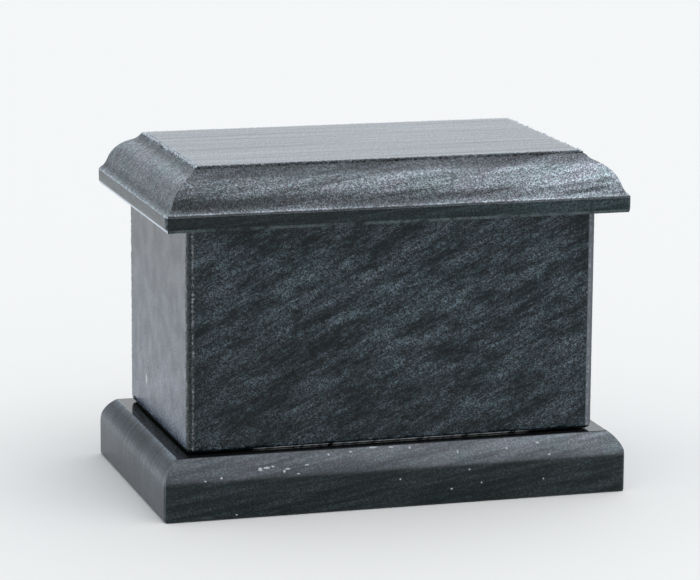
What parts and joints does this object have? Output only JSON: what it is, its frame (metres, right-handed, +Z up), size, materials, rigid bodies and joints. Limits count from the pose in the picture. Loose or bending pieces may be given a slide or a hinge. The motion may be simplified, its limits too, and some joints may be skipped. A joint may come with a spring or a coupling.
{
  "type": "cremation urn",
  "caption": "Small rectangular cremation urn of dark grey marble: a rounded-over base slab, a hollowed box and a lift-off lid with a moulded edge.",
  "frame": {"origin": "middle of the underside of the base, on the surface that the urn stands on", "axes": "+Z up, X along the long side, -Y towards the front"},
  "size_m": [0.16, 0.1012, 0.1156],
  "materials": {
    "base_marble": "dark grey marble, honed on the rounded edge and polished on the ledge",
    "box_marble": "dark grey marble with slanting blue-grey streaks, fine honed",
    "lid_marble": "dark grey marble, honed and slightly grainy on the moulding, smoother on top"
  },
  "bodies": {
    "root": {"base": "base_marble", "urn_box": "box_marble", "lid": "lid_marble"}
  },
  "joints": []
}
